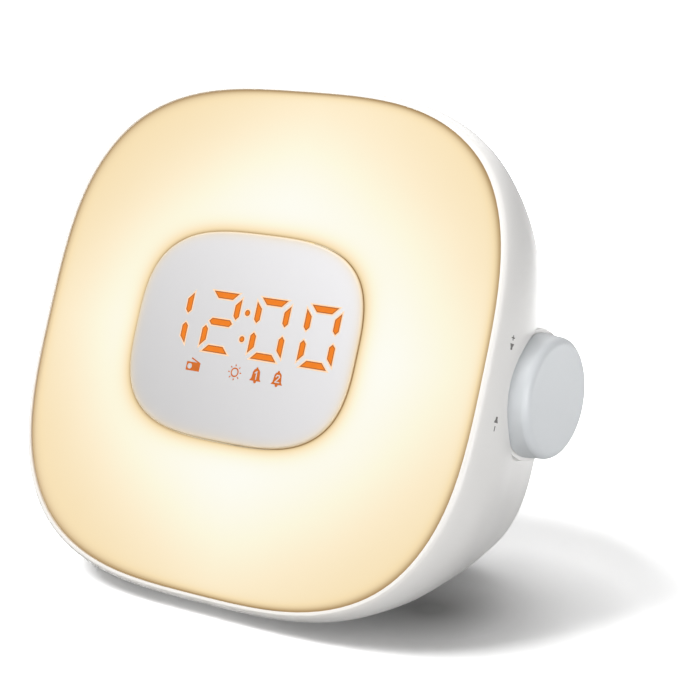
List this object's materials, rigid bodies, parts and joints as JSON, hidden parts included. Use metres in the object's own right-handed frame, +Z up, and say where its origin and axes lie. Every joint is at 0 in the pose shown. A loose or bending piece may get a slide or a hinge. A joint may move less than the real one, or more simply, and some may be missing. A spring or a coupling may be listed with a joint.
{
  "type": "sunrise alarm clock",
  "caption": "Rounded-square sunrise alarm clock leaning back on a flat base, with a glowing domed face round a digital display, a round knob on each side and push buttons behind.",
  "frame": {"origin": "middle of the whole clock on the surface it stands on", "axes": "+Z up, the display faces -Y and leans back, +X to the right seen from the front"},
  "size_m": [0.2084, 0.1356, 0.175],
  "materials": {
    "white_case": "fine satin",
    "white_knob": "satin",
    "lamp_diffuser": "translucent, lit warm white",
    "display_grey": "satin",
    "orange_light": "lit",
    "white_inner": "matt",
    "black_plastic": "satin",
    "circuit_board": "solder mask",
    "white_board": "white coated",
    "yellow_chip": "phosphor",
    "steel": "plated",
    "brass_part": "plain",
    "cell_steel": "polished",
    "rubber_black": "matt",
    "rubber_grey": "matt",
    "cone_paper": "pressed paper",
    "grey_button": "satin",
    "cable_grey": "satin"
  },
  "bodies": {
    "case": {"case_shell": "white_case", "rear_cover": "white_case", "diffuser": "lamp_diffuser", "display_face": "display_grey", "digit_segments": "orange_light", "display_icons": "orange_light", "display_housing": "white_inner", "digit_block": "white_inner", "display_board": "circuit_board", "display_chips": "orange_light", "reflector": "white_inner", "lamp_board": "white_board", "lamp_chips": "yellow_chip", "lamp_screws": "steel", "main_board": "circuit_board", "main_board_screws": "steel", "board_chips": "black_plastic", "capacitors": "black_plastic", "inductor": "black_plastic", "board_sockets": "white_inner", "speaker_basket": "steel", "speaker_magnet": "black_plastic", "speaker_surround": "rubber_black", "speaker_cone": "cone_paper", "power_inlet": "black_plastic", "inlet_pin": "steel", "aerial_gland": "rubber_grey", "coin_cell": "cell_steel", "cell_contact": "steel", "button_board": "circuit_board", "button_switches": "black_plastic", "button_board_screws": "steel", "rear_cover_screws": "steel", "snooze_board": "circuit_board", "snooze_switch": "black_plastic", "snooze_screws": "steel", "rubber_feet": "rubber_grey", "volume_encoder": "black_plastic", "volume_nut": "brass_part", "brightness_encoder": "black_plastic", "brightness_nut": "brass_part", "encoder_wires": "cable_grey", "lamp_wires": "cable_grey", "speaker_wires": "cable_grey", "button_wires": "cable_grey", "display_ribbon": "cable_grey", "snooze_wires": "cable_grey", "inlet_wires": "cable_grey"},
    "volume_knob": {"volume_knob": "white_knob", "volume_shaft": "steel"},
    "brightness_knob": {"brightness_knob": "white_knob", "brightness_shaft": "steel"},
    "snooze_bar": {"snooze_bar": "white_knob"},
    "cell_cover": {"cell_cover": "white_case"},
    "alarm_one_button": {"alarm_one_button": "grey_button"},
    "alarm_two_button": {"alarm_two_button": "grey_button"},
    "radio_button": {"radio_button": "grey_button"},
    "lamp_button": {"lamp_button": "grey_button"},
    "set_button": {"set_button": "grey_button"}
  },
  "joints": [
    {"name": "volume_knob_turn", "type": "hinge", "parent": "case", "child": "volume_knob", "pos_m": [0.1042, -0.00483, 0.07914], "axis": [1, 0, 0], "continuous": true},
    {"name": "brightness_knob_turn", "type": "hinge", "parent": "case", "child": "brightness_knob", "pos_m": [-0.1042, -0.00483, 0.07914], "axis": [-1, 0, 0], "continuous": true},
    {"name": "alarm_one_press", "type": "slide", "parent": "case", "child": "alarm_one_button", "axis": [0, -0.9311, 0.3649], "range_m": [0, 0.0006], "stiffness_N_per_m": 1500, "springref_m": -0.0004},
    {"name": "alarm_two_press", "type": "slide", "parent": "case", "child": "alarm_two_button", "axis": [0, -0.9311, 0.3649], "range_m": [0, 0.0006], "stiffness_N_per_m": 1500, "springref_m": -0.0004},
    {"name": "radio_press", "type": "slide", "parent": "case", "child": "radio_button", "axis": [0, -0.9311, 0.3649], "range_m": [0, 0.0006], "stiffness_N_per_m": 1500, "springref_m": -0.0004},
    {"name": "lamp_press", "type": "slide", "parent": "case", "child": "lamp_button", "axis": [0, -0.9311, 0.3649], "range_m": [0, 0.0006], "stiffness_N_per_m": 1500, "springref_m": -0.0004},
    {"name": "set_press", "type": "slide", "parent": "case", "child": "set_button", "axis": [0, -0.9311, 0.3649], "range_m": [0, 0.0006], "stiffness_N_per_m": 1500, "springref_m": -0.0004},
    {"name": "snooze_press", "type": "slide", "parent": "case", "child": "snooze_bar", "axis": [0, -0.8092, -0.5875], "range_m": [0, 0.0006], "stiffness_N_per_m": 2000, "springref_m": -0.0004},
    {"name": "cell_cover_turn", "type": "hinge", "parent": "case", "child": "cell_cover", "pos_m": [0.028, 0.05182, 0.03868], "axis": [0, 0.9311, -0.3649], "range_deg": [0, 40]}
  ]
}
